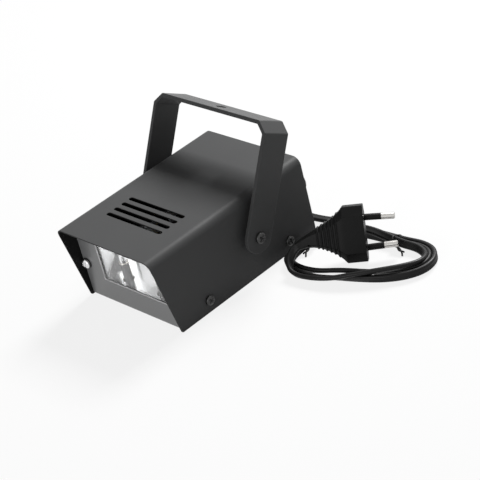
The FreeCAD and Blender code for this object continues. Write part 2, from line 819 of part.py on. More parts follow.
def make_terminal_block():
    body = block_on(terminal_place, terminal_size, board_top)
    for side in (-1, 1):
        x = terminal_place[0] + side * terminal_size[0] / 4
        top = Vector(x, terminal_place[1], board_top + terminal_size[2])
        body = body.cut(rod(terminal_screw_diameter, top - Z * terminal_hole_depth, top + Z))
        rear = Vector(x, terminal_rear, gland_place[1])
        body = body.cut(rod(wire_diameter + 2 * pin_gap, rear - Y * terminal_hole_depth, rear + Y))
    return body


# ---------------------------------------------------------------- flash-rate control
def knob_axis(y):
    return Vector(knob_place[0], y, knob_place[1])


def lug_end(k):
    """Lower end of one of the potentiometer's three lugs."""
    return knob_axis(shaft_floor) + X * k * pot_lug_pitch - Z * (pot_diameter / 2 + pot_lug_length)


def make_speed_pot():
    rear = rear_inner
    body = rod(pot_diameter, knob_axis(rear - pot_depth), knob_axis(rear))
    body = body.fuse(rod(pot_bushing_diameter, knob_axis(rear), knob_axis(rear_outer + pot_bushing_length)))
    for k in (-1, 0, 1):
        foot = lug_end(k)
        body = body.fuse(block_on((foot.x, foot.y),
                                  (pot_lug_width, pot_lug_sheet, pot_lug_length + pot_lug_root), foot.z))
    bore = shaft_diameter + 2 * shaft_play
    return body.removeSplitter().cut(rod(bore, knob_axis(shaft_floor), knob_axis(knob_end())))


def make_pot_nut():
    gap = pot_bushing_diameter + 2 * screw_hole_gap
    washer = rod(pot_washer_diameter, knob_axis(rear_outer), knob_axis(rear_outer + pot_washer_thickness))
    washer = washer.cut(rod(gap, knob_axis(rear_outer - 1), knob_axis(rear_outer + 2)))
    seat = rear_outer + pot_washer_thickness
    return [washer, nut(pot_nut_width, pot_nut_thickness, gap, knob_axis(seat), Y)]


def knob_end():
    return rear_outer + knob_gap + knob_length


def make_pot_shaft():
    return rod(shaft_diameter, knob_axis(shaft_floor + shaft_play), knob_axis(knob_end() - knob_cap))


def fluted_ring(diameter, y):
    """Outline of the knob at a distance along its axis: crests with flutes between them."""
    points = []
    for k in range(knob_flute_count):
        for share, depth in ((0, 0), (0.5, 0), (0.75, knob_flute_depth)):
            angle = 2 * math.pi * (k + share) / knob_flute_count
            out = Vector(math.cos(angle), 0, math.sin(angle))
            points.append(knob_axis(y) + out * (diameter / 2 - depth))
    return Part.makePolygon(points + points[:1])


def make_speed_knob():
    """Fluted, slightly tapered knob; a recess in its back clears the nut."""
    base, end = rear_outer + knob_gap, knob_end()
    rings = [fluted_ring(knob_diameter, base), fluted_ring(knob_tip_diameter, end - knob_rim),
             fluted_ring(knob_tip_diameter - 2 * knob_rim, end)]
    body = Part.makeLoft(rings, True, True)
    recess = knob_diameter - 2 * knob_wall
    body = body.cut(rod(recess, knob_axis(base - 1),
                        knob_axis(rear_outer + pot_bushing_length + knob_recess_gap)))
    return body.cut(rod(shaft_diameter, knob_axis(base), knob_axis(end - knob_cap)))


# ---------------------------------------------------------------- mains lead
def gland_axis(y):
    return Vector(gland_place[0], y, gland_place[1])


def make_cord_gland():
    """Strain relief: a collar inside, a flange outside and a flat tapering sleeve with slots."""
    collar, neck, flange = gland_collar_diameter / 2, gland_diameter / 2, gland_flange_diameter / 2
    profile = [(0, -chassis_sheet - gland_inner_length), (collar, -chassis_sheet - gland_inner_length),
               (collar, -chassis_sheet), (neck, -chassis_sheet), (neck, 0), (flange, 0),
               (flange, gland_flange_thickness), (0, gland_flange_thickness)]
    body = turned(profile, gland_axis(rear_outer), Y)
    root, tip = rear_outer + gland_flange_thickness, rear_outer + gland_length
    body = body.fuse(Part.makeLoft([gland_ring(gland_root, root), gland_ring(gland_tip, tip)], True, True))
    pitch = (tip - root) / (gland_slot_count + 1)
    x, z = gland_place
    for k in range(gland_slot_count):
        middle = root + (k + 1) * pitch
        core = (gland_tip[1] / 2 - gland_slot_depth) + (gland_root[1] - gland_tip[1]) / 2 * (tip - middle) / (
            tip - root)
        for low, high in ((core, gland_root[1]), (-gland_root[1], -core)):
            body = body.cut(box((x - gland_root[0], x + gland_root[0]),
                                (middle - gland_slot_width / 2, middle + gland_slot_width / 2),
                                (z + low, z + high)))
    return body


def gland_ring(size, y):
    """Eight-sided outline of the flat sleeve."""
    half, high, cut = size[0] / 2, size[1] / 2, gland_corner
    right = [(half - cut, -high), (half, cut - high), (half, high - cut), (half - cut, high)]
    outline = right + [(-x, z) for x, z in reversed(right)]
    points = [gland_axis(y) + Vector(x, 0, z) for x, z in outline]
    return Part.makePolygon(points + points[:1])


def make_mains_wires():
    """The lead's two cores, from the strain relief into the terminal block."""
    wires = []
    for side in (-1, 1):
        x = terminal_place[0] + side * terminal_size[0] / 4
        outlet = gland_axis(rear_inner - gland_inner_length) + X * side * wire_spacing / 2
        straight = wire_straight * (outlet.y - terminal_rear)
        points = [outlet, outlet - Y * straight, Vector(x, terminal_rear + straight, gland_place[1]),
                  Vector(x, terminal_rear - terminal_hole_depth + 1, gland_place[1])]
        wires.append(bent_wire(points, wire_diameter))
    return wires


def make_control_wires():
    """Three wires from the potentiometer's lugs down to the board."""
    wires = []
    for k in (-1, 0, 1):
        lug = lug_end(k)
        level, foot, bend = board_top + 2 * wire_bend, board_rear - wire_bend, wire_bend / 2
        points = [lug, Vector(lug.x, lug.y, level + bend), Vector(lug.x, lug.y - bend, level),
                  Vector(lug.x, foot + bend, level), Vector(lug.x, foot, level - bend),
                  Vector(lug.x, foot, board_top)]
        wires.append(bent_wire(points, control_wire_diameter))
    return wires


# route of the lead from the strain relief to the hank, chosen by hand
lead_route = [gland_axis(rear_outer + gland_length), Vector(-32, 90, 12), Vector(-27.9, 98.4, 10.7),
              Vector(-20.2, 103.6, 8.4), Vector(-10.9, 104.2, 5.8), Vector(-2.5, 100.1, 3.7),
              Vector(3.4, 92, 2.6), Vector(9.5, 81.1, 2.6), Vector(18.8, 74.3, 2.6),
              Vector(29.2, 73.2, 2.6), Vector(40.6, 74.8, 2.6), Vector(52, 77.4, 3), Vector(63.8, 75.4, 4)]

# middle line of the hank, chosen by hand; it closes on its first point
hank_route = [(50.6, 32), (56, 26.6), (66, 24.3), (78, 24.4), (90, 28), (103, 34.5), (116, 42.5),
              (126, 51.5), (132, 61), (131.5, 70), (126, 76), (117, 78), (106, 76.2), (94, 75.6),
              (82, 74.8), (70, 73), (59, 68), (52.2, 58), (50.3, 45)]


def hank_line():
    """Closed path of straight runs and tangent arcs through the middle of the hank."""
    points = [Vector(x, y, 0) for x, y in hank_route]
    start = (points[-1] + points[0]) * 0.5
    looped = [start] + points + [start]
    radii = free_radii([points[-1]] + points + [points[0]])
    return wire_path(looped, [radius * hank_clearance for radius in radii])


def tie_frame(place):
    """Frame at the middle of the hank's run that is nearest to a place: X is along the strands."""
    points = [Vector(x, y, 0) for x, y in hank_route]
    runs = sorted(zip(points, points[1:]),
                  key=lambda run: ((run[0] + run[1]) * 0.5).distanceToPoint(Vector(place[0], place[1], 0)))
    start, end = runs[0]
    return Placement((start + end) * 0.5, Rotation(X, end - start))


def section_bar(width, low, high, length):
    """Bar along X with the section of the hank and its slanted corners."""
    half, cut = width / 2, hank_corner
    right = [(half - cut, low), (half, low + cut), (half, high - cut), (half - cut, high)]
    outline = right + [(-y, z) for y, z in reversed(right)]
    return prism([Vector(-length / 2, y, z) for y, z in outline], X * length)


def make_cord_hank():
    line = hank_line()
    outer = Part.Face(line.makeOffset2D(hank_width / 2, 0, False, False, False))
    inner = Part.Face(line.makeOffset2D(-hank_width / 2, 0, False, False, False))
    hank = outer.cut(inner).extrude(Z * hank_height)
    hank = hank.makeChamfer(hank_corner, [e for e in hank.Edges if near(e.BoundBox.ZLength, 0)])
    for place in tie_places:
        length = tie_width + 2 * tie_gap
        waist = section_bar(hank_width - 2 * tie_depth, tie_depth, hank_height - tie_depth, length + 1)
        groove = box((-length / 2, length / 2), (-hank_width, hank_width), (-1, hank_height + 1)).cut(waist)
        groove.Placement = tie_frame(place)
        hank = hank.cut(groove)
    return hank


def make_twist_ties():
    """Wire ties, each twisted once and left with a short tail on the inside of the hank."""
    bands = []
    for place, way in zip(tie_places, tie_tail_ways):
        ring = section_bar(hank_width - 2 * tie_gap, tie_gap / 2, hank_height - tie_gap, tie_width)
        waist = 2 * (tie_depth - tie_gap)
        ring = ring.cut(section_bar(hank_width - waist, tie_depth - tie_gap / 2,
                                    hank_height - tie_depth + tie_gap / 2, tie_width + 2))
        tail = [Vector(way * along, hank_width / 2 + out, height) for along, out, height in tie_tail]
        for start, end in zip(tail, tail[1:]):
            ring = ring.fuse(hexagon(tie_tail_width, start, end - start))
        ring.Placement = tie_frame(place)
        bands.append(ring)
    return bands


# ---------------------------------------------------------------- plug
def plug_frame():
    """Place of the plug: X along the pins, Z up its height; its lowest corner is on the floor."""
    turn = Rotation(Z, plug_yaw) * Rotation(Y, plug_pitch) * Rotation(X, -plug_lean)
    corners = plug_section(0, 0, plug_height / 2, plug_thickness / 2, 0).Vertexes
    rise = -min(turn.multVec(corner.Point).z for corner in corners)
    return Placement(Vector(plug_place[0], plug_place[1], rise), turn)


def plug_section(back, drop, half_height, half_thickness, tilt):
    """Eight-sided section behind the pin face, square to the bent axis of the grip."""
    edge = half_thickness * plug_edge_width / plug_thickness
    cut = half_height * plug_edge_cut / (plug_height / 2)
    quarter = [(half_thickness, half_height - cut), (edge, half_height)]
    ring = quarter + [(-y, z) for y, z in reversed(quarter)]
    ring += [(-y, -z) for y, z in ring]
    turn = Rotation(Y, -tilt)
    centre = Vector(-back, 0, -drop)
    points = [centre + turn.multVec(Vector(0, y, z)) for y, z in ring]
    return Part.makePolygon(points + points[:1])


def grip_loft(grow):
    sections = [plug_section(back, drop, high + grow, thick + grow, tilt)
                for back, drop, high, thick, tilt in grip_stations]
    return Part.makeLoft(sections, True, True)


def pin_line(side):
    """Start on the pin face and unit direction of a pin; the two lean towards each other."""
    start = Z * side * pin_spacing / 2
    return start, (Vector(pin_length, 0, side * pin_tip_spacing / 2) - start).normalize()


def make_plug_body():
    face = Part.Face(plug_section(0, 0, plug_height / 2, plug_thickness / 2, 0))
    body = face.extrude(X * -plug_straight).fuse(grip_loft(0))
    crests = grip_loft(plug_rib_height)
    for k in range(plug_rib_count):
        start = -plug_straight - plug_rib_first - k * plug_rib_pitch
        slab = box((start - plug_rib_width, start), (-plug_height, plug_height), (-plug_height, plug_height))
        body = body.fuse(crests.common(slab))
    for side in (-1, 1):
        start, direction = pin_line(side)
        hole = pin_core_diameter + 2 * pin_gap
        body = body.cut(rod(hole, start - direction * (pin_root_length + pin_gap), start + direction))
    body.Placement = plug_frame()
    return body


def make_plug_pins():
    pins = []
    for side in (-1, 1):
        start, direction = pin_line(side)
        tip = rod(pin_diameter, start + direction * sleeve_length, start + direction * pin_length)
        tip = tip.makeChamfer(pin_tip_edge, [e for e in tip.Edges if near(e.Length, math.pi * pin_diameter)
                                             and e.CenterOfMass.x > sleeve_length + 1])
        pin = tip.fuse(rod(pin_core_diameter, start - direction * pin_root_length,
                           start + direction * (sleeve_length + 1)))
        pin.Placement = plug_frame()
        pins.append(pin)
    return pins


def make_plug_sleeves():
    sleeves = []
    for side in (-1, 1):
        start, direction = pin_line(side)
        low, high = start + direction * 2 * pin_gap, start + direction * (sleeve_length - pin_gap)
        sleeve = rod(pin_diameter, low, high)
        sleeve = sleeve.cut(rod(pin_core_diameter + 2 * pin_gap, low - direction, high + direction))
        sleeve.Placement = plug_frame()
        sleeves.append(sleeve)
    return sleeves


def tail_line():
    """The lead behind the plug: it leaves the grip's end and runs down into the hank."""
    back, drop, _, _, tilt = grip_stations[-1]
    frame = plug_frame()
    start = frame.multVec(Vector(-back, 0, -drop))
    direction = frame.Rotation.multVec(Rotation(Y, -tilt).multVec(X * -1))
    return [start, start + direction * tail_length]


def print_radii(name, points):
    print(name, "radii", [round(radius, 1) for radius in free_radii(points)])


parts = {
    "cover": [make_cover()],
    "cover_screws": make_cover_screws(),
    "chassis": [make_chassis()],
    "window": [make_window()],
    "reflector": [make_reflector()],
    "xenon_tube": [make_xenon_tube()],
    "tube_sleeves": make_tube_sleeves(),
    "trigger_band": make_trigger_band(),
    "front_screws": make_front_screws(),
    "front_washers": make_front_washers(),
    "front_nuts": make_front_nuts(),
    "bracket": [make_bracket()],
    "pivot_screws": make_pivot_screws(),
    "pivot_spacers": make_pivot_spacers(),
    "pivot_nuts": make_pivot_nuts(),
    "circuit_board": [make_circuit_board()],
    "board_standoffs": make_board_standoffs(),
    "board_screws": make_board_screws(),
    "storage_capacitors": make_storage_capacitors(),
    "film_capacitor": [make_film_capacitor()],
    "trigger_capacitor": [make_trigger_capacitor()],
    "trigger_transformer": [make_trigger_transformer()],
    "power_resistor": [make_power_resistor()],
    "thyristor": [make_thyristor()],
    "neon_trigger": [make_neon_trigger()],
    "rectifier_diodes": make_rectifier_diodes(),
    "fuse": [make_fuse()],
    "fuse_clips": make_fuse_clips(),
    "terminal_block": [make_terminal_block()],
    "speed_pot": [make_speed_pot()],
    "pot_nut": make_pot_nut(),
    "pot_shaft": [make_pot_shaft()],
    "speed_knob": [make_speed_knob()],
    "cord_gland": [make_cord_gland()],
    "mains_wires": make_mains_wires(),
    "control_wires": make_control_wires(),
    "cord_lead": [sweep(wire_path(lead_route, free_radii(lead_route)), cord_diameter, cord_sides)],
    "cord_hank": [make_cord_hank()],
    "cord_tail": [sweep(wire_path(tail_line(), []), cord_diameter, cord_sides)],
    "twist_ties": make_twist_ties(),
    "plug_body": [make_plug_body()],
    "plug_pins": make_plug_pins(),
    "plug_sleeves": make_plug_sleeves(),
}
print_radii("lead", lead_route)
print_radii("hank", [Vector(x, y, 0) for x, y in hank_route + hank_route[:2]])

os.makedirs("parts", exist_ok=True)
for name, solids in parts.items():
    shape = solids[0] if len(solids) == 1 else Part.makeCompound(solids)
    print(name, len(shape.Solids), round(shape.Volume, 1), shape.isValid())
    shape.exportStep(f"parts/{name}.step")
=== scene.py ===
import json
import math

import bmesh
import bpy
from mathutils import Matrix, Vector


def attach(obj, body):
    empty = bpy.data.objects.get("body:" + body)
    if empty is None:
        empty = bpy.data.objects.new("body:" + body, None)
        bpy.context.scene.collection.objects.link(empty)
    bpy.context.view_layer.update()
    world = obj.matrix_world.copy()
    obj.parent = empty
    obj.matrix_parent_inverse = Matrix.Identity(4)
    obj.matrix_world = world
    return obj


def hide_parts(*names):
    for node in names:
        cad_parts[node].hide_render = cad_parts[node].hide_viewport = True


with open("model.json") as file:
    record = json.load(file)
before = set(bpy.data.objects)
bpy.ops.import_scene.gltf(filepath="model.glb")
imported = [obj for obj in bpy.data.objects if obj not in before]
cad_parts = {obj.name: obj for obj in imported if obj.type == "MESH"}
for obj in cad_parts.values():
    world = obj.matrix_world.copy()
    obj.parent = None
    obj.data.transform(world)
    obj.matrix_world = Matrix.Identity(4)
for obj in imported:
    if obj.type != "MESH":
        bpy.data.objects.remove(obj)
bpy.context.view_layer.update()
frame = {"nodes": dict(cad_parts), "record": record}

MM = 0.001
scene = bpy.context.scene

# places on the part that the finishes and the new pieces share, in millimetres
HOOD_HALF, HOOD_TOP, HOOD_BEND = 43.0, 55.0, 5.5
PANEL_BACK = -51.4
WINDOW_MIDDLE, WINDOW_LEFT, WINDOW_SILL = 5.0, -24.0, 16.5
KNOB_MIDDLE, KNOB_END = 16.0, 75.6


# ------------------------------------------------------------------ camera
def place_camera():
    """Long lens on the right of the lamp, held with a slight roll."""
    camera = bpy.data.objects.new("camera", bpy.data.cameras.new("camera"))
    scene.collection.objects.link(camera)
    camera.data.sensor_width = 36.0
    camera.data.lens = 127.65
    camera.data.clip_start, camera.data.clip_end = 0.05, 20.0
    right, up, back = (0.687, 0.693, -0.218), (-0.245, 0.504, 0.828), (0.684, -0.515, 0.516)
    place = (0.7383, -0.5197, 0.5558)
    turn = Matrix((right, up, back)).transposed().to_quaternion().to_matrix().to_4x4()
    camera.matrix_world = Matrix.Translation(place) @ turn
    scene.camera = camera


place_camera()


# ------------------------------------------------------------------ shading helpers
class Value:
    """A socket that varies over a surface. Sums, products and so on of it add Math nodes."""

    def __init__(self, tree, socket):
        self.tree, self.socket = tree, socket

    def math(self, operation, *terms):
        return self.tree.node("ShaderNodeMath", {"operation": operation}, dict(enumerate(terms)))

    def __add__(self, other):
        return self.math("ADD", self, other)

    __radd__ = __add__

    def __sub__(self, other):
        return self.math("SUBTRACT", self, other)

    def __mul__(self, other):
        return self.math("MULTIPLY", self, other)

    __rmul__ = __mul__

    def __gt__(self, other):
        return self.math("GREATER_THAN", self, other)

    def __lt__(self, other):
        return self.math("LESS_THAN", self, other)

    def __abs__(self):
        return self.math("ABSOLUTE", self)

    def wave(self):
        return self.math("SINE", self)


class Tree:
    """A node tree and short ways to add nodes to it."""

    def __init__(self, tree):
        self.nodes, self.links = tree.nodes, tree.links

    def feed(self, node, sockets):
        for key, value in sockets.items():
            if isinstance(value, Value):
                self.links.new(value.socket, node.inputs[key])
            else:
                node.inputs[key].default_value = value

    def node(self, kind, settings=None, sockets=None, output=0):
        """Adds a node: its type, its settings, then the values or links of its sockets."""
        node = self.nodes.new(kind)
        for name, setting in (settings or {}).items():
            if name == "stops":
                ramp = node.color_ramp.elements
                while len(ramp) < len(setting):
                    ramp.new(0.5)
                for stop, (position, colour) in zip(ramp, setting):
                    stop.position, stop.color = position, colour
            else:
                setattr(node, name, setting)
        self.feed(node, sockets or {})
        return Value(self, node.outputs[output]) if node.outputs else None

    def mix(self, mask, first, second):
        """Colour between two colours."""
        return self.node("ShaderNodeMix", {"data_type": "RGBA"}, {0: mask, 6: first, 7: second}, 2)

    def vector(self, operation, *terms, output=0):
        """Result of a Vector Math node."""
        return self.node("ShaderNodeVectorMath", {"operation": operation}, dict(enumerate(terms)),
                         output)

    def axis(self, vector, name):
        """X, Y or Z of a vector."""
        return self.node("ShaderNodeSeparateXYZ", {}, {0: vector}, "XYZ".index(name))

    def range(self, value, low, high, to_low=0.0, to_high=1.0):
        """The value mapped from one range to another and held inside it."""
        return self.node("ShaderNodeMapRange", {"clamp": True},
                         {0: value, 1: low, 2: high, 3: to_low, 4: to_high})


class Finish(Tree):
    """A procedural material: one Principled surface with the nodes that feed it."""

    def __init__(self, name, **surface):
        self.material = bpy.data.materials.new(name)
        self.material.use_nodes = True
        super().__init__(self.material.node_tree)
        self.surface = self.nodes["Principled BSDF"]
        self.place = self.node("ShaderNodeTexCoord", output="Object")
        self.wear(**surface)

    def wear(self, **surface):
        """Sets or links sockets of the surface, named with underscores."""
        self.feed(self.surface, {name.replace("_", " "): value for name, value in surface.items()})
        return self

    def stretched(self, x, y, z):
        """Object coordinates scaled along each axis."""
        return self.vector("MULTIPLY", self.place, (x, y, z))

    def noise(self, size, detail=2.0, where=None, rough=0.5):
        """Fractal noise whose largest features are about this many millimetres."""
        return self.node("ShaderNodeTexNoise", {},
                         {"Vector": where or self.place, "Scale": 1.0 / (size * MM),
                          "Detail": detail, "Roughness": rough})

    def cells(self, size):
        """Distance to the nearest of scattered points this many millimetres apart."""
        return self.node("ShaderNodeTexVoronoi", {},
                         {"Vector": self.place, "Scale": 1.0 / (size * MM)})

    def follow(self, texture, low, high):
        """A value between two limits that follows the middle of a texture's spread."""
        return self.range(texture, 0.3, 0.7, low, high)

    def relief(self, *layers):
        """Bumps the surface by layers of (height, depth in millimetres)."""
        height = sum(value * (depth * MM) for value, depth in layers)
        bump = self.node("ShaderNodeBump", {}, {"Height": height, "Distance": 1.0, "Strength": 1.0})
        return self.wear(Normal=bump)


def grey(value, warmth=0.0):
    """Colour of one brightness, a little red for a warmth above zero."""
    return (value * (1 + warmth), value, value * (1 - warmth), 1.0)


def scaled(colour, factor):
    """The colour made darker or lighter."""
    return tuple(min(1.0, c * factor) for c in colour[:3]) + (1.0,)


def within(value, middle, reach):
    """1 where a coordinate lies within a reach of a middle, both in millimetres."""
    return abs(value - middle * MM) < reach * MM


# ------------------------------------------------------------------ finishes
def hood_shade_mask(finish):
    """Mask of painted shade: 1 on the hood's inner faces and cut edges, 0 on its outer faces and
    their long bends.
    """
    skin_depth = 0.1
    across = abs(finish.axis(finish.place, "X")) - (HOOD_HALF - HOOD_BEND) * MM
    up = finish.axis(finish.place, "Z") - (HOOD_TOP - HOOD_BEND) * MM
    across, up = (value.math("MAXIMUM", value, 0.0) for value in (across, up))
    return (across * across + up * up) < ((HOOD_BEND - skin_depth) * MM) ** 2


def powder_coat(name, tone, rough, grain=0.55, hood=False):
    """Black powder coat: fine orange peel, dusty cloudiness and slightly rubbed high spots.

    On the hood, painted shade makes it near black inside and on the sheet's cut edges.
    """
    coat = Finish(name, IOR=1.5, Specular_IOR_Level=0.1)
    peel = coat.noise(grain, 3.0)
    cloud = coat.noise(38.0, 4.0)
    scuff = coat.range(coat.noise(9.0, 6.0, coat.stretched(1.0, 0.35, 1.0), 0.7), 0.58, 0.72)
    colour = coat.mix(cloud * 0.5 + peel * 0.3, grey(tone * 0.82, -0.01), grey(tone * 1.22, -0.01))
    # painted shade: the hood's inner faces and cut edges are painted near black
    coat.wear(Base_Color=coat.mix(hood_shade_mask(coat), colour, grey(0.008)) if hood else colour,
              Roughness=coat.follow(cloud, rough - 0.04, rough + 0.05) - scuff * 0.05)
    return coat.relief((peel, 0.035), (coat.noise(grain * 4.5, 2.0), 0.03)).material


def panel_paint():
    """Dark grey satin paint of the chassis, with a painted highlight along two edges of the window.
    """
    highlight_width = 0.3
    paint = Finish("chassis_grey_paint", IOR=1.5, Specular_IOR_Level=0.4, Coat_Weight=0.3,
                   Coat_Roughness=0.22)
    cloud = paint.noise(26.0, 5.0)
    peel = paint.noise(0.8, 3.0)
    height, across = paint.axis(paint.place, "Z"), paint.axis(paint.place, "X")
    front = paint.axis(paint.place, "Y") < (PANEL_BACK + 0.1) * MM
    # painted highlight: a pale line along the window's sill and left jamb stands in for the edge's
    # glint
    sill = within(height, WINDOW_SILL, highlight_width) * within(across, WINDOW_MIDDLE, 29.2)
    jamb = within(across, WINDOW_LEFT, highlight_width) * within(height, WINDOW_SILL + 14.5, 14.5)
    edge_highlight = front * sill.math("MAXIMUM", sill, jamb) * 0.8
    coat = paint.mix(cloud, grey(0.125, -0.01), grey(0.16, -0.01))
    paint.wear(Base_Color=paint.mix(edge_highlight, coat, grey(0.8)),
               Roughness=paint.follow(cloud, 0.34, 0.44))
    return paint.relief((peel, 0.02), (paint.noise(3.5, 2.0), 0.02)).material


def moulded(name, colour, rough, grain=0.35, depth=0.02, gloss=0.4):
    """Moulded plastic, of a colour or a grey value, with a fine eroded texture and flow marks."""
    plastic = Finish(name, IOR=1.48, Specular_IOR_Level=gloss)
    pits = plastic.cells(grain)
    flow = plastic.noise(14.0, 4.0, plastic.stretched(1.0, 1.0, 2.4))
    if isinstance(colour, tuple):
        low, high = scaled(colour, 0.85), scaled(colour, 1.12)
    else:
        low, high = grey(colour * 0.8), grey(colour * 1.2)
    plastic.wear(Base_Color=plastic.mix(flow, low, high),
                 Roughness=plastic.follow(flow, rough - 0.05, rough + 0.05))
    return plastic.relief((pits, depth), (plastic.noise(grain * 6), depth)).material


def bright_metal(name, colour, rough, drawn=False):
    """Plated or turned metal with fine marks, along X where it was drawn, and slight tarnish."""
    metal = Finish(name, Metallic=1.0)
    marks = metal.noise(0.5, 4.0, metal.stretched(0.12 if drawn else 1, 1, 1), 0.65)
    tarnish = metal.noise(4.0, 5.0)
    metal.wear(Base_Color=metal.mix(metal.range(tarnish, 0.45, 0.75), colour, scaled(colour, 0.82)),
               Roughness=metal.follow(tarnish, rough * 0.8, rough * 1.25) + marks * 0.06)
    return metal.relief((marks, 0.006)).material


def mirror_foil():
    """Bright anodised reflector sheet with faint rolling lines and small dents."""
    foil = Finish("mirror_foil", Metallic=0.9, IOR=1.6)
    lines = foil.noise(0.7, 3.0, foil.stretched(0.1, 1.0, 1.0))
    dents = foil.noise(7.0, 2.0)
    foil.wear(Base_Color=foil.mix(foil.noise(11.0, 3.0), grey(0.88), grey(0.78)),
              Roughness=foil.follow(lines, 0.13, 0.2))
    return foil.relief((lines, 0.003), (dents, 0.05)).material


def clear(name, colour, rough=0.02, ior=1.49, smear=0.05):
    """Clear plate or glass with faint smears."""
    glass = Finish(name, IOR=ior, Transmission_Weight=1.0)
    smears = glass.range(glass.noise(12.0, 5.0, glass.stretched(0.5, 1.0, 1.4), 0.65), 0.5, 0.8)
    glass.wear(Base_Color=glass.mix(smears, colour, scaled(colour, 0.94)),
               Roughness=rough + smears * smear)
    return glass.relief((glass.noise(16.0, 2.0), 0.01)).material


def rubber_cord():
    """Satin vinyl sheath, a little dusty, with a fine grain."""
    sheath = Finish("cord_black_vinyl", IOR=1.5, Specular_IOR_Level=0.15)
    dust = sheath.noise(5.0, 5.0)
    fine = sheath.noise(0.45, 3.0)
    sheath.wear(Base_Color=sheath.mix(dust, grey(0.0045), grey(0.010)),
                Roughness=sheath.follow(dust, 0.36, 0.5))
    return sheath.relief((fine, 0.015), (sheath.noise(2.2), 0.02)).material


def circuit_brown():
    """Phenolic board with fibre flecks and the shadow of copper tracks."""
    board = Finish("board_brown_phenolic", IOR=1.5)
    fibre = board.noise(1.6, 5.0, board.stretched(0.3, 1.0, 1.0), 0.7)
    tracks = board.range(abs(board.noise(9.0, 1.0) - 0.5), 0.012, 0.03)
    board.wear(Base_Color=board.mix(fibre * 0.6 + tracks * 0.4,
                                    (0.22, 0.13, 0.05, 1), (0.36, 0.25, 0.12, 1)),
               Roughness=board.follow(fibre, 0.4, 0.6))
    return board.relief((fibre, 0.02)).material


def winding():
    """Varnished copper wire, wound round an upright core, with painted shade in the grooves between
    turns.
    """
    wire_pitch = 0.28
    coil = Finish("winding_amber_wire", IOR=1.5, Coat_Weight=0.6, Coat_Roughness=0.15)
    height = coil.axis(coil.place, "Z")
    turns = (height * (2 * math.pi / (wire_pitch * MM))).wave()
    # painted shade: the colour darkens in the grooves between turns, in step with the bump
    coil.wear(Base_Color=coil.mix(coil.range(turns, -1.0, 1.0),
                                  (0.12, 0.035, 0.01, 1), (0.42, 0.17, 0.05, 1)),
              Roughness=coil.follow(coil.noise(3.0), 0.25, 0.4))
    return coil.relief((turns, 0.04)).material


def shrink_sleeve():
    """Black shrink sleeve of the capacitors with a pale stripe down one side."""
    stripe_edge = -16.4
    sleeve = Finish("can_sleeve_black", IOR=1.5, Specular_IOR_Level=0.5)
    side = sleeve.axis(sleeve.place, "X")
    stripe = (side > stripe_edge * MM) * sleeve.range(sleeve.noise(1.4), 0.3, 0.4)
    crinkle = sleeve.noise(5.0, 3.0, sleeve.stretched(1.0, 1.0, 0.25))
    sleeve.wear(Base_Color=sleeve.mix(stripe, (0.028, 0.028, 0.032, 1), (0.42, 0.44, 0.46, 1)),
                Roughness=sleeve.follow(crinkle, 0.25, 0.4))
    return sleeve.relief((crinkle, 0.06)).material


def knob_plastic():
    """Satin black knob with a white pointer line on its end."""
    knob = Finish("knob_black_moulded", IOR=1.48, Specular_IOR_Level=0.5)
    across, up = knob.axis(knob.place, "X"), knob.axis(knob.place, "Z")
    depth = knob.axis(knob.place, "Y")
    line = within(across, KNOB_MIDDLE, 0.5) * within(up, 34.3, 2.1) * (depth > KNOB_END * MM)
    flow = knob.noise(9.0, 4.0)
    knob.wear(Base_Color=knob.mix(line, knob.mix(flow, grey(0.018), grey(0.03)), grey(0.75)),
              Roughness=knob.follow(flow, 0.36, 0.46))
    return knob.relief((knob.cells(0.3), 0.012), (knob.noise(2.0), 0.015)).material


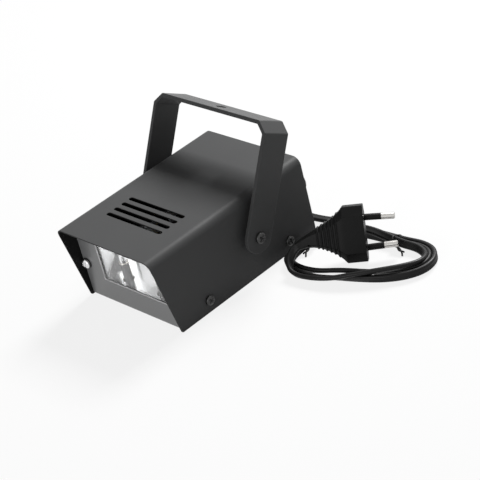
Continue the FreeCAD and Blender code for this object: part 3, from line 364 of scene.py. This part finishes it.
# the finish of every material slot
FINISHES = {
    "hood_black": powder_coat("hood_black_powder", 0.05, 0.50, hood=True),
    "bracket_black": powder_coat("bracket_black_powder", 0.052, 0.42, 0.5),
    "chassis_grey": panel_paint(),
    "screw_black": bright_metal("screw_black_oxide", grey(0.055), 0.38),
    "screw_bright": bright_metal("screw_bright_zinc", (0.80, 0.80, 0.81, 1), 0.2),
    "washer_dark": bright_metal("washer_dark_oxide", grey(0.07), 0.4),
    "nut_zinc": bright_metal("nut_zinc_plate", (0.62, 0.62, 0.64, 1), 0.32),
    "spacer_black": moulded("spacer_black_nylon", 0.02, 0.5),
    "clear_plate": clear("clear_plate_acrylic", (0.97, 0.975, 0.98, 1)),
    "mirror_foil": mirror_foil(),
    "tube_glass": clear("tube_glass_quartz", (0.97, 0.98, 0.99, 1), 0.01, 1.46, 0.02),
    "sleeve_grey": moulded("sleeve_grey_silicone", 0.08, 0.5),
    "bare_wire": bright_metal("bare_wire_tinned", (0.72, 0.68, 0.62, 1), 0.3),
    "board_brown": circuit_brown(),
    "can_sleeve": shrink_sleeve(),
    "film_yellow": moulded("film_yellow_epoxy", (0.55, 0.36, 0.06, 1), 0.3, 0.6, 0.01),
    "winding_amber": winding(),
    "ceramic_white": moulded("ceramic_white_body", (0.74, 0.72, 0.67, 1), 0.6, 0.5, 0.05),
    "chip_black": moulded("chip_black_epoxy", 0.02, 0.5, 0.25, 0.02),
    "neon_glass": clear("neon_glass_bulb", (0.95, 0.88, 0.82, 1)),
    "fuse_glass": clear("fuse_glass_tube", (0.93, 0.95, 0.95, 1)),
    "clip_tin": bright_metal("clip_tin_plate", (0.70, 0.70, 0.72, 1), 0.3),
    "terminal_grey": moulded("terminal_grey_nylon", (0.28, 0.30, 0.32, 1), 0.5),
    "pot_metal": bright_metal("pot_metal_can", (0.56, 0.56, 0.57, 1), 0.33),
    "shaft_metal": bright_metal("shaft_metal_turned", (0.72, 0.72, 0.73, 1), 0.28, drawn=True),
    "knob_black": knob_plastic(),
    "gland_black": moulded("gland_black_rubber", 0.022, 0.55),
    "wire_insulation": moulded("wire_insulation_brown", (0.16, 0.07, 0.035, 1), 0.42, 0.5, 0.008),
    "cord_black": rubber_cord(),
    "tie_black": moulded("tie_black_plastic", 0.01, 0.4, gloss=0.2),
    "plug_black": moulded("plug_black_moulded", 0.006, 0.42, 0.4, 0.02, gloss=0.09),
    "pin_nickel": bright_metal("pin_nickel_plate", (0.50, 0.49, 0.47, 1), 0.26, drawn=True),
}


# ------------------------------------------------------------------ piece helpers
def show(piece, slot, body="housing", replaces=(), smooth=True):
    """Puts a new piece in the scene, with its finish, on the body that carries it."""
    scene.collection.objects.link(piece)
    piece.data.materials.clear()
    piece.data.materials.append(FINISHES[slot])
    if smooth and piece.type == "MESH":
        piece.data.shade_smooth()
    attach(piece, body)
    if replaces:
        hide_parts(*replaces)
    return piece


def mesh_piece(name, points, faces):
    """Mesh object from points in millimetres."""
    mesh = bpy.data.meshes.new(name)
    mesh.from_pydata([tuple(c * MM for c in point) for point in points], [], faces)
    mesh.update()
    return bpy.data.objects.new(name, mesh)


def skin(rings, closed_ends=True):
    """Points and faces of the surface through rings of equally many points, each ring closed."""
    count = len(rings[0])
    points = [point for ring in rings for point in ring]
    faces = []
    for row in range(len(rings) - 1):
        for k in range(count):
            a, b = row * count + k, row * count + (k + 1) % count
            faces.append((a, b, b + count, a + count))
    if closed_ends:
        faces.append(tuple(range(count))[::-1])
        faces.append(tuple(range(len(points) - count, len(points))))
    return points, faces


def add_spline(data, places, tilts=None, closed=False):
    """Adds a smooth curve with these places, in millimetres, as its control points."""
    spline = data.splines.new("NURBS")
    spline.points.add(len(places) - 1)
    for k, (point, place) in enumerate(zip(spline.points, places)):
        point.co = (*(c * MM for c in place), 1.0)
        point.tilt = tilts[k] if tilts else 0.0
    spline.order_u = 3
    spline.use_cyclic_u, spline.use_endpoint_u = closed, not closed


def curve_of(name, places, tilts=None):
    """Object with one smooth open curve."""
    data = bpy.data.curves.new(name, "CURVE")
    data.dimensions = "3D"
    add_spline(data, places, tilts)
    return bpy.data.objects.new(name, data)


def smooth_line(places):
    """Points along the smooth curve of these control points, all in millimetres."""
    curve = curve_of("guide", places)
    curve.data.resolution_u = 8
    mesh = bpy.data.meshes.new_from_object(curve)
    line = [vertex.co / MM for vertex in mesh.vertices]
    bpy.data.objects.remove(curve)
    bpy.data.meshes.remove(mesh)
    return line


# ------------------------------------------------------------------ mains lead
CORD_WIDTH, CORD_THICKNESS = 5.4, 3.2
LEAD_ROUTE = [
    (-32, 82, 12), (-32, 90, 12), (-27.9, 98.4, 10.7), (-20.2, 103.6, 8.4), (-10.9, 104.2, 5.8),
    (-2.5, 100.1, 3.7), (3.4, 92, 2.6), (9.5, 81.1, 2.6), (18.8, 74.3, 2.6), (29.2, 73.2, 2.6),
    (40.6, 74.8, 2.6), (52, 77.4, 3),
]
# one turn of the hank, seen from above, the way the lead runs round it
HANK_TURN = [
    (70, 73), (82, 74.8), (94, 75.6), (106, 76.2), (117, 78), (126, 76), (131.5, 70), (132, 61),
    (126, 51.5), (116, 42.5), (103, 34.5), (90, 28), (78, 24.4), (66, 24.3), (56, 26.6), (50.6, 32),
    (50.3, 45), (52.2, 58), (59, 68),
]
# how the cord lies along its turns: number of the point, distance outside the middle line and
# height in mm, and degrees that the flat cord is turned up on its edge
STRAND = [
    (0, 1.8, 3.3, 35), (2, 2.6, 3.0, 80), (5, 3.2, 3.0, 90), (8, 3.2, 3.0, 90), (9, 2.2, 3.0, 80),
    (10, 0.4, 2.9, 60), (11, -0.8, 2.6, 35), (12, 0.2, 2.7, 40), (13, 1.2, 3.0, 70),
    (15, 2.4, 3.0, 90), (18, -0.9, 3.0, 90), (21, -0.6, 3.0, 84), (24, 0.0, 3.0, 90),
    (26, -0.4, 3.0, 88), (27, -2.6, 3.0, 75), (28, -4.8, 2.8, 50), (29, -7.8, 2.6, 33),
    (30, -8.8, 2.6, 31), (31, -5.8, 2.7, 38), (32, -2.6, 2.9, 64), (34, -1.0, 3.2, 88),
    (37, 0.0, 6.3, 40), (39, -0.4, 6.7, 20), (41, -2.4, 4.7, 45), (43, -3.2, 3.8, 60),
    (44, -2.8, 4.5, 58), (45, -1.8, 5.9, 50), (46, -1.0, 7.1, 48), (47, 0.0, 7.5, 48),
    (48, 1.8, 6.7, 44), (49, 3.4, 4.9, 36), (50, 3.8, 3.9, 38),
]
# from the last turn up into the end of the plug's grip: place in mm and the same degrees
LAST_BEND = [
    (66.2, 19.0, 3.9, 58), (61.4, 21.5, 6.7, 56), (59.1, 25.6, 10.5, 53), (60.0, 30.3, 14.2, 50),
    (62, 32.5, 15.7, 48),
]


def outward(index):
    """Direction out of the hank at one point of the turn."""
    before, after = Vector(HANK_TURN[index - 1]), Vector(HANK_TURN[(index + 1) % len(HANK_TURN)])
    along = (after - before).normalized()
    return Vector((-along.y, along.x))


def cord_route():
    """Control points and tilts of the lead, its turns and the end that runs into the plug."""
    points, tilts = list(LEAD_ROUTE), [0.0] * len(LEAD_ROUTE)
    for (start, *low), (end, *high) in zip(STRAND, STRAND[1:]):
        for number in range(start, end + (end == STRAND[-1][0])):
            share = (number - start) / (end - start)
            side, level, tilt = (a + (b - a) * share for a, b in zip(low, high))
            index = number % len(HANK_TURN)
            place = Vector(HANK_TURN[index]) + outward(index) * side
            points.append((place.x, place.y, level))
            tilts.append(math.radians(tilt))
    points += [place for *place, _ in LAST_BEND]
    tilts += [math.radians(tilt) for *_, tilt in LAST_BEND]
    return points, tilts


def cord_section():
    """Closed outline of the flat twin cord: two round cores with a shallow waist."""
    data = bpy.data.curves.new("cord_section", "CURVE")
    data.dimensions = "2D"
    spline = data.splines.new("POLY")
    count, waist_depth, waist_width, steepness = 24, 0.3, 0.75, 2.2
    spline.points.add(count - 1)
    radius, shift = CORD_THICKNESS / 2, (CORD_WIDTH - CORD_THICKNESS) / 2
    for k, point in enumerate(spline.points):
        angle = 2 * math.pi * k / count
        side = math.cos(angle)
        across = radius * side + shift * math.copysign(min(1.0, steepness * abs(side)), side)
        waist = 1 - waist_depth * math.exp(-(across / waist_width) ** 2)
        point.co = (across * MM, radius * waist * math.sin(angle) * MM, 0, 1)
    spline.use_cyclic_u = True
    return bpy.data.objects.new("cord_section", data)


def make_cord():
    """Mains lead from the gland through the hank into the plug, as one curve."""
    points, tilts = cord_route()
    cord = curve_of("mains_cord", points, tilts)
    cord.data.resolution_u = 5
    cord.data.twist_mode = "Z_UP"
    cord.data.bevel_mode = "OBJECT"
    cord.data.bevel_object = cord_section()
    cord.data.use_fill_caps = True
    return show(cord, "cord_black", replaces=("cord_lead", "cord_hank", "cord_tail"))


# ------------------------------------------------------------------ wire ties
TIE_RADIUS = 0.55
TIE_REACH = 2.6                 # from the middle of a turn of the cord to the wire round it
TIES = [((100, 75.9, 3.5), 1), ((51.2, 51.5, 3.5), -1)]     # place, and which way its ends point


def bundle_at(place):
    """Where the cord's turns pass near a place, and the direction that they run in."""
    reach, slice_width = 8.5, 2.0
    line = smooth_line(cord_route()[0])
    near = []
    for start, end in zip(line, line[1:]):
        middle = (start + end) / 2
        if (middle - Vector(place)).length < reach:
            near.append((middle, (end - start).normalized()))
    along = sum((step for _, step in near), Vector()).normalized()
    points = [point for point, _ in near if abs((point - Vector(place)).dot(along)) < slice_width]
    return points, along


def hull(points):
    """Convex outline round flat points, in order."""
    points = sorted(set((round(x, 2), round(y, 2)) for x, y in points))
    rows = []
    for run in (points, points[::-1]):
        side = []
        for point in run:
            while len(side) > 1 and ((side[-1][0] - side[-2][0]) * (point[1] - side[-2][1])
                                     - (side[-1][1] - side[-2][1]) * (point[0] - side[-2][0])) <= 0:
                side.pop()
            side.append(point)
        rows += side[:-1]
    return rows


def tie_loop(points, along, across, middle):
    """Loop of wire round the bundle, and how far it reaches inwards."""
    sides, skew = 8, 0.5
    flat = []
    for point in points:
        for k in range(sides):
            angle = 2 * math.pi * k / sides
            flat.append(((point - middle).dot(across) + TIE_REACH * math.cos(angle),
                         max(point.z + TIE_REACH * math.sin(angle), TIE_RADIUS) - middle.z))
    loop = [middle + across * y + Vector((0, 0, z)) + along * (skew * math.sin(k))
            for k, (y, z) in enumerate(hull(flat))]
    return loop, max(y for y, _ in flat)


def twisted_ends(start, along, across):
    """The wire's two ends, twisted round each other and parted at their tips."""
    steps, twist = 21, 9.0                          # the twist is in radians
    root, length, aside, drop = 0.6, 9.4, 2.2, 4.1  # how the middle of the twist runs
    parted, splay = 0.8, 3.6                        # from here on the tips leave each other
    ends = []
    for turn in (0, math.pi):
        path = []
        for k in range(steps + 1):
            share = k / steps
            angle = turn + share * twist
            spread = TIE_RADIUS + splay * max(0, share - parted)
            path.append(start + across * (aside * share + spread * math.cos(angle))
                        + along * (root + length * share)
                        + Vector((0, 0, spread * math.sin(angle) - drop * share ** 1.4)))
        ends.append(path)
    return ends


def make_ties():
    """Plastic-covered wire ties, each pulled round the hank and twisted by hand."""
    twist_gap, twist_height = 0.4, 5.4
    data = bpy.data.curves.new("wire_ties", "CURVE")
    data.dimensions, data.use_fill_caps = "3D", True
    data.bevel_depth, data.bevel_resolution, data.resolution_u = TIE_RADIUS * MM, 3, 4
    for place, way in TIES:
        points, along = bundle_at(place)
        across = Vector((along.y, -along.x, 0)).normalized()
        middle = sum(points, Vector()) / len(points)
        loop, inner = tie_loop(points, along, across, middle)
        add_spline(data, loop, closed=True)
        start = middle + across * (inner + twist_gap)
        start.z = twist_height
        for end in twisted_ends(start, along * way, across):
            add_spline(data, end)
    return show(bpy.data.objects.new("wire_ties", data), "tie_black", replaces=("twist_ties",))


# ------------------------------------------------------------------ screws
def ring_at(radius, height, count=40):
    """Ring of points round Z."""
    angles = [2 * math.pi * k / count for k in range(count)]
    return [(radius * math.cos(angle), radius * math.sin(angle), height) for angle in angles]


def pan_head(radius, height, arm, turn):
    """Rings of points of a pan head, its seat at zero, with a cross recess of this half width."""
    recess_depth, recess_reach, rim_height, fall = 0.62, 0.62, 0.3, 0.42    # shares of the head
    end_slope, flank_slope = 0.3, 0.35 * arm
    rings = []
    for share in (0.1, 0.25, 0.4, 0.52, 0.64, 0.76, 0.88, 0.96, 1.0):
        dome = height * (1 - fall * share ** 3.2)
        ring = []
        for x, y, _ in ring_at(radius * share, dome):
            across, along = sorted((abs(x * math.cos(turn) + y * math.sin(turn)),
                                    abs(y * math.cos(turn) - x * math.sin(turn))))
            flank = min(1.0, max(0.0, (arm - across) / flank_slope))
            end = min(1.0, max(0.0, (radius * recess_reach - along) / end_slope))
            ring.append((x, y, dome - recess_depth * height * flank * end))
        rings.append(ring)
    rim = rings[-1]
    rings.append([(x, y, height * rim_height) for x, y, _ in rim])
    rings.append([(x * 0.98, y * 0.98, 0.0) for x, y, _ in rim])
    return rings[::-1]


def thread(diameter, length):
    """Rings of points of a screw's shank, from its tip up to zero."""
    half_pitch, tip, depth = 0.25, 0.4, 0.12
    rings = [ring_at(diameter * 0.36, -length)]
    for k in range(int((length - tip) / half_pitch) + 1):
        groove = depth if k % 2 else 0.0
        rings.append(ring_at(diameter / 2 - groove, -length + tip + half_pitch * k))
    return rings


def make_screws(name, slot, replaced, seats, head, shank):
    """Pan-head screws at their seats, each with its recess turned its own way.

    Each seat is a place and the way that the head faces. Head and shank are each a diameter
    and a length.
    """
    recess_arm, first_turn, next_turn = head[0] * 0.085, 0.7, 2.1
    points, faces = [], []
    for number, (seat, way) in enumerate(seats):
        facing = Vector(way).to_track_quat("Z", "Y").to_matrix()
        top = pan_head(head[0] / 2, head[1], recess_arm, first_turn + next_turn * number)
        for rings in (thread(*shank), top):
            more, joins = skin(rings)
            faces += [tuple(index + len(points) for index in face) for face in joins]
            points += [Vector(seat) + facing @ Vector(point) for point in more]
    return show(mesh_piece(name, points, faces), slot, replaces=(replaced,))


def mirrored(seat, way):
    """The seat of a screw and its twin on the other side of the lamp."""
    x, y, z = seat
    return [((x, y, z), way), ((-x, y, z), (-way[0], way[1], way[2]))]


# ------------------------------------------------------------------ behind the window
def make_tube():
    """Flash tube: a bent glass tube with a bore."""
    legs, plane, foot, top, bend = (-11.0, 21.0), -43.2, 7.6, 40.0, 8.0
    outside, bore, sides, steps = 2.2, 1.45, 20, 8
    shoulder = top - bend
    path = [Vector((legs[0], plane, foot + (shoulder - foot) * k / steps))
            for k in range(steps + 1)]
    for k in range(1, steps + 1):
        angle = math.pi / 2 * k / steps
        path.append(Vector((legs[0] + bend - bend * math.cos(angle), plane,
                            shoulder + bend * math.sin(angle))))
    path += [Vector((sum(legs) - point.x, point.y, point.z)) for point in reversed(path)]
    side = Vector((0, 1, 0))
    rings = []
    for radius, run, turn in ((outside, path, 1), (bore, path[::-1], -1)):
        for k, point in enumerate(run):
            step = run[min(k + 1, len(run) - 1)] - run[max(k - 1, 0)]
            up = side.cross(step).normalized() * turn
            rings.append([point + (side * math.cos(a) + up * math.sin(a)) * radius
                          for a in (2 * math.pi * j / sides for j in range(sides))])
    points, faces = skin(rings, closed_ends=False)
    last = len(points) - sides
    faces += [((k + 1) % sides, k, last + k, last + (k + 1) % sides) for k in range(sides)]
    return show(mesh_piece("flash_tube", points, faces), "tube_glass", replaces=("xenon_tube",))


def make_gussets():
    """Folded corner sheets at both ends of the reflector's trough."""
    thickness, front = 0.3, -48.5
    # distance from the window's middle, depth and height of the two triangles' corners
    corners = [(29.1, front, 45.2), (29.1, front, 16.4), (21.4, -33.6, 45.2), (26.8, -36.8, 16.4)]
    sheet = [(0, 1, 2), (1, 3, 2), (4, 6, 5), (5, 6, 7), (0, 4, 5, 1), (1, 5, 7, 3), (3, 7, 6, 2),
             (2, 6, 4, 0)]
    points, faces = [], []
    for way in (-1, 1):
        first = len(points)
        points += [(WINDOW_MIDDLE + way * (x + behind), y, z)
                   for behind in (0.0, thickness) for x, y, z in corners]
        faces += [tuple(first + k for k in face[::way]) for face in sheet]
    return show(mesh_piece("reflector_gussets", points, faces), "mirror_foil", smooth=False)


# ------------------------------------------------------------------ softened edges
# how far the edges of these nodes are rounded, in millimetres
SOFT_EDGES = {"cover": 0.18, "chassis": 0.18, "bracket": 0.3, "plug_body": 0.35,
              "speed_knob": 0.25, "cord_gland": 0.2}
FLAT, SHARP = 0.6, 28           # degrees up to which faces join, and from which edges are rounded


def soften(name, width):
    """Rounds the sharp edges of a CAD node a little, as paint and moulding do."""
    node = frame["nodes"][name]
    weld = node.modifiers.new("weld", "WELD")
    weld.merge_threshold = 0.01 * MM
    faces = node.modifiers.new("whole_faces", "DECIMATE")
    faces.decimate_type, faces.angle_limit = "DISSOLVE", math.radians(FLAT)
    edge = node.modifiers.new("soft_edges", "BEVEL")
    edge.width, edge.segments, edge.limit_method = width * MM, 2, "ANGLE"
    edge.angle_limit = math.radians(SHARP)
    edge.use_clamp_overlap = False
    shade = node.modifiers.new("even_shading", "WEIGHTED_NORMAL")
    shade.keep_sharp, shade.weight = True, 100
    node.data.shade_smooth()


# ------------------------------------------------------------------ new pieces
cord = make_cord()
ties = make_ties()
make_screws("side_screws", "screw_black", "cover_screws",
            [seat for y in (-29.0, 41.0) for seat in mirrored((HOOD_HALF, y, 8), (1, 0, 0))],
            head=(6.3, 2.2), shank=(3.0, 5.0))
make_screws("pivot_bolts", "screw_black", "pivot_screws",
            mirrored((50.1, 13.7, 28.7), (1, 0, 0)), head=(7.0, 2.6), shank=(4.0, 12.6))
make_screws("panel_screws", "screw_bright", "front_screws",
            mirrored((38.1, -53.0, 24.5), (0, -1, 0)), head=(6.5, 2.2), shank=(3.0, 8.5))
make_tube()
make_gussets()
for name, width in SOFT_EDGES.items():
    soften(name, width)

# ------------------------------------------------------------------ CAD nodes that stay
for part in frame["record"]["subparts"]:
    node = frame["nodes"][part["node"]]
    node.data.materials.clear()
    node.data.materials.append(FINISHES[part["material_slot"]])


# ------------------------------------------------------------------ studio
def seen_rays(tree):
    """1 for rays from the camera, off gloss or through glass, 0 for those that only carry light."""
    rays = [tree.node("ShaderNodeLightPath", output=name)
            for name in ("Is Camera Ray", "Is Glossy Ray", "Is Transmission Ray")]
    return rays[0] + rays[1] + rays[2]


def make_floor():
    """Round white floor that keeps a soft shadow under the lamp and is plain white further out."""
    radius, drop = 4.0, 0.0003
    shadow_end, white_start, share_under_lamp = 0.35, 0.9, 0.84
    mesh = bmesh.new()
    bmesh.ops.create_circle(mesh, cap_ends=True, segments=96, radius=radius)
    data = bpy.data.meshes.new("floor")
    mesh.to_mesh(data)
    mesh.free()
    floor = bpy.data.objects.new("floor", data)
    floor.location.z = -drop
    scene.collection.objects.link(floor)
    paper = bpy.data.materials.new("floor_paper")
    paper.use_nodes = True
    tree = Tree(paper.node_tree)
    tree.nodes.clear()
    matt = tree.node("ShaderNodeBsdfDiffuse", {}, {"Color": grey(0.55)})
    glow = tree.node("ShaderNodeEmission", {}, {"Color": (1, 1, 1, 1), "Strength": 1.0})
    away = tree.vector("LENGTH", tree.node("ShaderNodeTexCoord", output="Object"), output=1)
    share = seen_rays(tree) * tree.range(away, shadow_end, white_start, share_under_lamp, 1.0)
    surface = tree.node("ShaderNodeMixShader", {}, {0: share, 1: matt, 2: glow})
    tree.node("ShaderNodeOutputMaterial", {}, {"Surface": surface})
    data.materials.append(paper)


def make_world():
    """White surroundings: full white where they are seen or mirrored, dimmer as a light."""
    world = bpy.data.worlds.new("studio")
    world.use_nodes = True
    scene.world = world
    tree = Tree(world.node_tree)
    tree.nodes.clear()
    dim = 0.19
    strength = dim + seen_rays(tree) * (1 - dim)
    light = tree.node("ShaderNodeBackground", {}, {"Color": (1, 1, 1, 1), "Strength": strength})
    tree.node("ShaderNodeOutputWorld", {}, {"Surface": light})


def softbox(name, place, target, width, height, watts):
    """Rectangular area lamp that points at a target."""
    data = bpy.data.lights.new(name, "AREA")
    data.shape, data.size, data.size_y, data.energy = "RECTANGLE", width, height, watts
    lamp = bpy.data.objects.new(name, data)
    lamp.location = place
    lamp.rotation_mode = "QUATERNION"
    lamp.rotation_quaternion = (Vector(target) - Vector(place)).to_track_quat("-Z", "Y")
    scene.collection.objects.link(lamp)


make_floor()
make_world()
softbox("top_box", place=(-0.08, 0.84, 0.95), target=(0, 0.01, 0.05), width=0.45, height=0.45,
        watts=31.0)
softbox("front_box", place=(0.32, -1.2, 0.4), target=(0, 0, 0.03), width=0.5, height=0.5, watts=6.5)
scene.view_settings.view_transform = "Standard"
